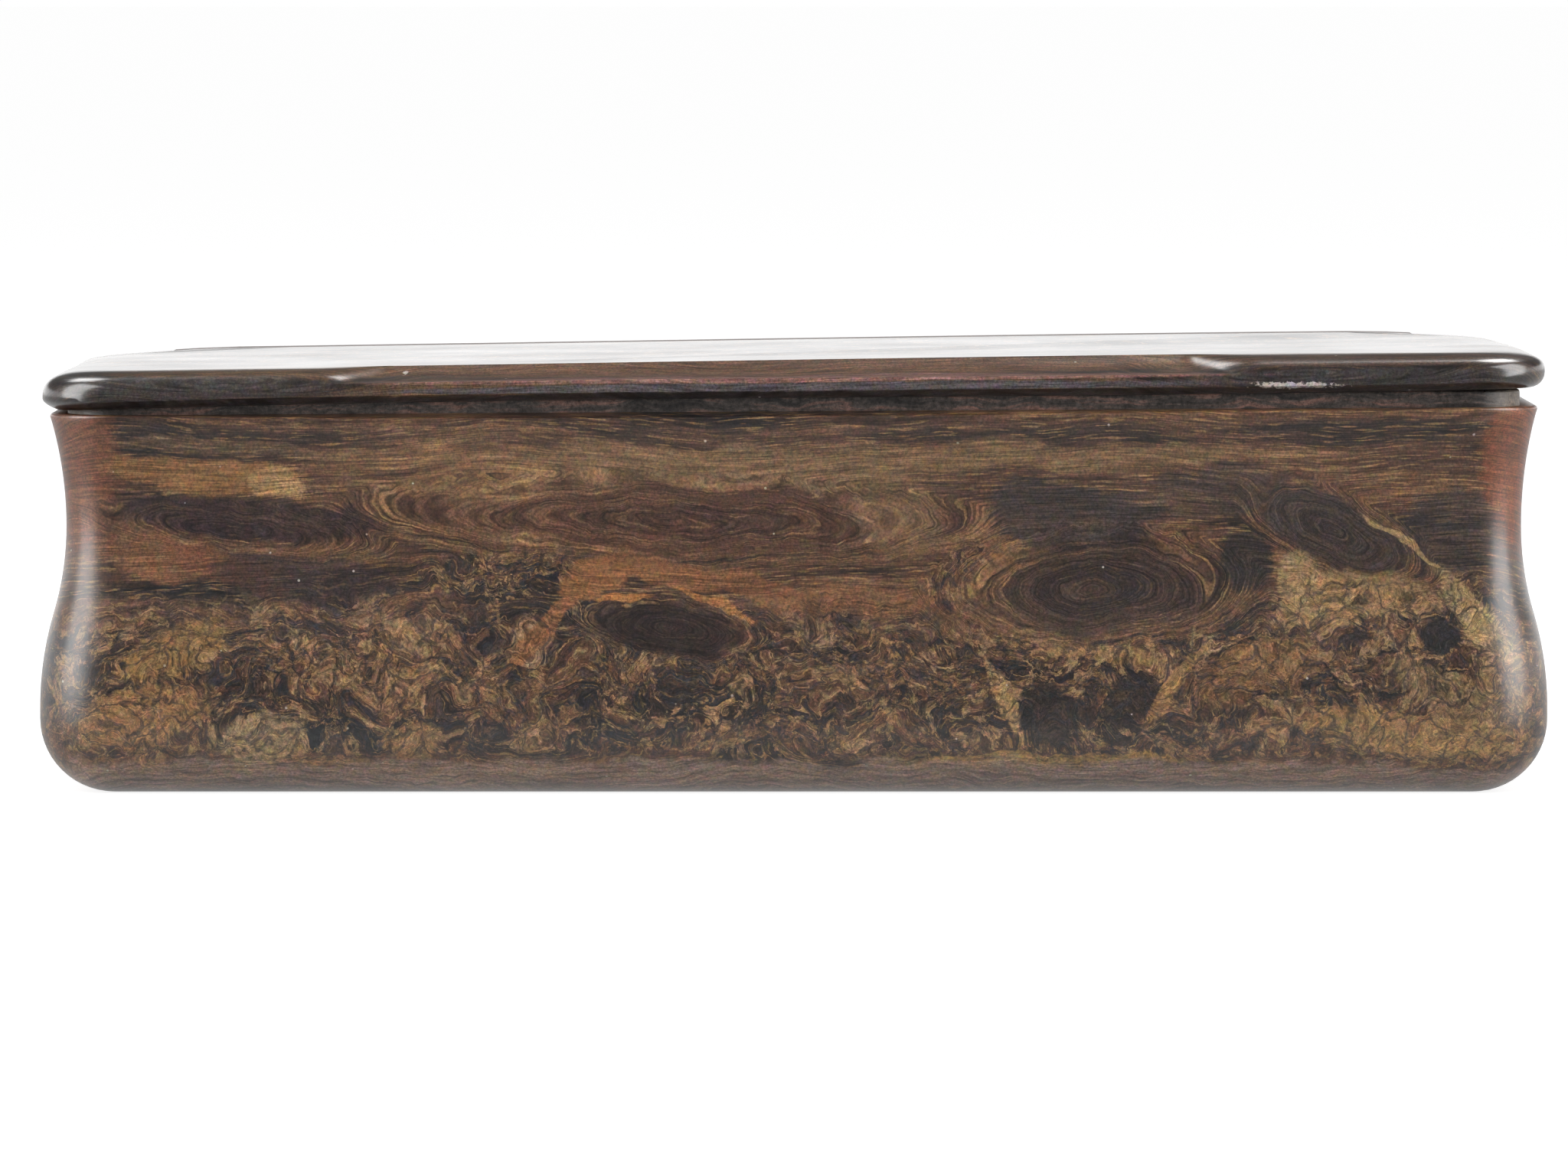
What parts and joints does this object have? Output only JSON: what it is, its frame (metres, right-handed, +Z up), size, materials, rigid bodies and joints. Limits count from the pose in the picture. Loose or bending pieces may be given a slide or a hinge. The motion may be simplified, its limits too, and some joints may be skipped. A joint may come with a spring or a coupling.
{
  "type": "snuff box",
  "caption": "Table snuff box with a waisted burr wood body, horn lining and a hinged lid with a thumb scoop.",
  "frame": {"origin": "middle of the foot, on the surface the box stands on", "axes": "+X along the long side towards the right end seen from the front, +Y towards the hinge at the back, +Z up"},
  "size_m": [0.09, 0.052, 0.0263],
  "materials": {
    "burr_wood": "polished lacquer over burr root wood",
    "lid_wood": "polished lacquer over dark root wood",
    "rail_wood": "waxed straight-grained wood",
    "horn": "polished dark horn sheet",
    "lip_horn": "satin dark horn strip",
    "brass": "drawn wire"
  },
  "bodies": {
    "box": {"body_block": "burr_wood", "body_hinge_rail": "rail_wood", "hinge_pin": "brass", "hinge_plugs": "rail_wood", "lining_back": "horn", "lining_floor": "horn", "lining_front": "horn", "lining_left": "horn", "lining_right": "horn", "lip_front": "lip_horn", "lip_left": "lip_horn", "lip_right": "lip_horn"},
    "lid": {"lid_slab": "lid_wood", "lid_lining": "horn", "lid_hinge_rail": "rail_wood"}
  },
  "joints": [
    {"name": "lid_hinge", "type": "hinge", "parent": "box", "child": "lid", "pos_m": [0, 0.0243, 0.0239], "axis": [-0.9999, 0, -0.0101], "range_deg": [0, 100]}
  ]
}
